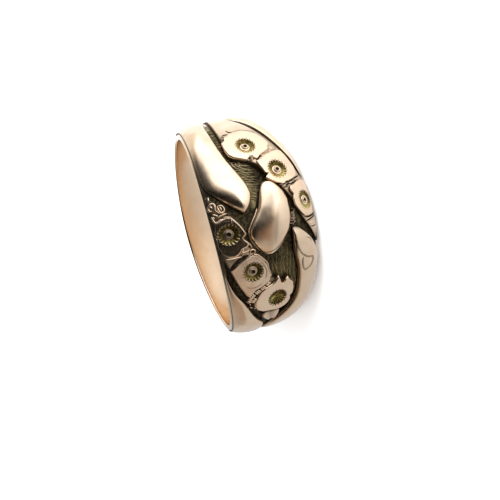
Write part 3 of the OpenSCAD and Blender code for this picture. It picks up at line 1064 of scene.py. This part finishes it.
lens = bpy.data.cameras.new("camera")
lens.sensor_width = 36
lens.lens = 35.4
lens.clip_start = MM
lens.clip_end = 30
camera = bpy.data.objects.new("camera", lens)
bpy.context.collection.objects.link(camera)
axes = Matrix((CAMERA_RIGHT, CAMERA_UP, CAMERA_BACK)).transposed().to_4x4()
camera.matrix_world = TO_REST @ Matrix.Translation(CAMERA_PLACE * MM) @ axes
bpy.context.scene.camera = camera

FLOOR_R = 8
bpy.ops.mesh.primitive_circle_add(vertices=96, radius=FLOOR_R, fill_type="NGON")
floor = bpy.context.object
floor.name = floor.data.name = "floor"
floor_paint = bpy.data.materials.new("floor_paint")
paint = Shade(floor_paint)
paint_shader = paint.tree.nodes["Principled BSDF"]
paint_shader.inputs["Base Color"].default_value = (0.88, 0.88, 0.88, 1)
paint_shader.inputs["Roughness"].default_value = 0.7
# In the gold the floor mirrors brighter on the lit side and darker where the camera stands
LIT_SIDE = (-0.008, 0.014)
BACK_SIDE = (-0.02, -0.002)
SHADED_PLACE = (-0.014, -0.055, 0)
SHADED_REACH = (0.012, 0.03)
place = paint.node("ShaderNodeTexCoord", {}, {}, "Object")
lit = paint.node("ShaderNodeSeparateXYZ", {}, {0: place}, "X").between(*LIT_SIDE)
behind = paint.node("ShaderNodeSeparateXYZ", {}, {0: place}, "Y").between(*BACK_SIDE)
spread = {0: place, 1: SHADED_PLACE}
away = paint.node("ShaderNodeVectorMath", {"operation": "DISTANCE"}, spread, "Value")
strength = (0.65 + 1.55 * lit * (1 - 0.5 * behind)) * (0.3 + 0.7 * away.between(*SHADED_REACH))
glowing = {"Color": (0.97, 1.0, 1.08, 1), "Strength": strength}
glow = paint.node("ShaderNodeEmission", {}, glowing, "Emission")
glossy = paint.node("ShaderNodeLightPath", {}, {}, "Is Glossy Ray")
both = {0: glossy, 1: Wire(paint, paint_shader.outputs["BSDF"]), 2: glow}
surface = paint.node("ShaderNodeMixShader", {}, both, "Shader")
paint.set(paint.tree.nodes["Material Output"].inputs["Surface"], surface)
floor.data.materials.append(floor_paint)

# What the polished gold mirrors: light from the picture's top, a mid grey below, and the
# dark of the camera in front. The camera itself sees plain white.
world = bpy.data.worlds.new("studio")
bpy.context.scene.world = world
sky = Shade(world)
background = sky.tree.nodes["Background"]
direction = sky.node("ShaderNodeTexCoord", {}, {}, "Generated")


def lobe(across, up, outer, inner):
    """1 within inner degrees of a place seen from the ring, and 0 beyond outer. Across
    and up are angles from the ring's front: towards the picture's top, and its left."""
    across, up = math.radians(across), math.radians(up)
    way = (math.sin(across) * math.cos(up), -math.cos(across) * math.cos(up), math.sin(up))
    ways = {0: direction, 1: RING_TURN @ Vector(way)}
    facing = sky.node("ShaderNodeVectorMath", {"operation": "DOT_PRODUCT"}, ways, "Value")
    return facing.between(math.cos(math.radians(outer)), math.cos(math.radians(inner)))


# Dark places: how dark, then across, up, outer and inner degrees
DARK_PLACES = [
    (0.92, 72, 75, 53, 36), (0.9, -90, 80, 52, 25), (0.94, 10, 17, 20, 13), (0.94, 1, 9, 16, 8),
    (0.94, -9, 33, 42, 20), (0.94, -12, 31, 24, 15), (0.94, -8, 52, 26, 17),
]
PLAIN_SKY = 1.5
AMBIENT = 0.58
SOFT_BOX = 1.5
BACK_LIGHT = 0.5
soft_box = lobe(60, 0, 58, 46) * (1 - lobe(-82, 49, 92, 87))
light = AMBIENT + SOFT_BOX * soft_box + BACK_LIGHT * lobe(140, -5, 50, 25)
light = light - 0.18 * lobe(-10, 0, 48, 20) - 0.14 * lobe(-105, 20, 48, 25)
for darkness, *place in DARK_PLACES:
    light = light * (1 - darkness * lobe(*place))
warmth = 0.9 * lobe(-20, 3, 18, 6) + 0.45 * lobe(-2, -1, 11, 5) + 0.4 * lobe(-90, 12, 50, 15)
mirrored = sky.node("ShaderNodeLightPath", {}, {}, "Is Glossy Ray")
cool = sky.mix(soft_box * mirrored, (1, 1, 1, 1), (0.95, 1.0, 1.14, 1))
tint = sky.mix(warmth * mirrored, cool, (1.0, 0.6, 0.42, 1))
sky.set(background.inputs["Color"], tint)
sky.set(background.inputs["Strength"], PLAIN_SKY - PLAIN_SKY * mirrored + mirrored * light)

KEY_FROM = Vector((0.75, -0.2, 0.6))
key = bpy.data.lights.new("key", "SUN")
key.energy = 4
key.angle = math.radians(40)
key_light = bpy.data.objects.new("key", key)
bpy.context.collection.objects.link(key_light)
key_light.matrix_world = KEY_FROM.to_track_quat("Z", "Y").to_matrix().to_4x4()
key_light.visible_glossy = False

bpy.context.scene.view_settings.view_transform = "Standard"
